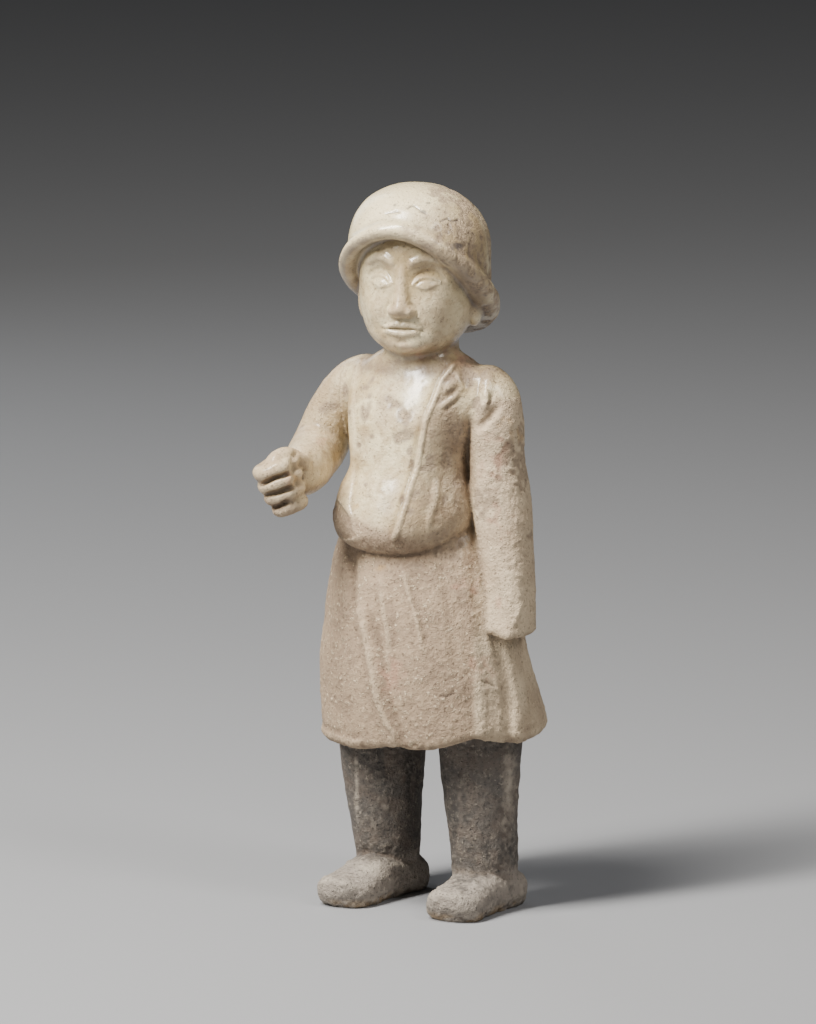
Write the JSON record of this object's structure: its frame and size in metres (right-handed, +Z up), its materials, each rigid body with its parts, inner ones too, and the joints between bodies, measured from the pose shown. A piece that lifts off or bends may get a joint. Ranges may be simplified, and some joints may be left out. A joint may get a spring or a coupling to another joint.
{
  "type": "pottery tomb figurine",
  "caption": "Straw-glazed pottery attendant standing in a rolled-brim hat, open jacket and wrapped skirt, one fist held out and the other arm in a long hanging sleeve.",
  "frame": {"origin": "centre of the bounding box at the height of the soles", "axes": "+Z up from the soles to the crown of the hat; the figure faces -Y and its own left side is +X"},
  "size_m": [0.1002, 0.1032, 0.27],
  "materials": {
    "straw_glaze": "thin straw-coloured lead glaze over buff earthenware, glossy on the hat, face, chest and belly, worn matte and crusted with earth on the sleeve and skirt",
    "bare_clay": "unglazed grey-brown earthenware of the legs and shoes, matte, mottled with burial dirt"
  },
  "bodies": {
    "root": {"tomb_figurine": "straw_glaze"}
  },
  "joints": []
}
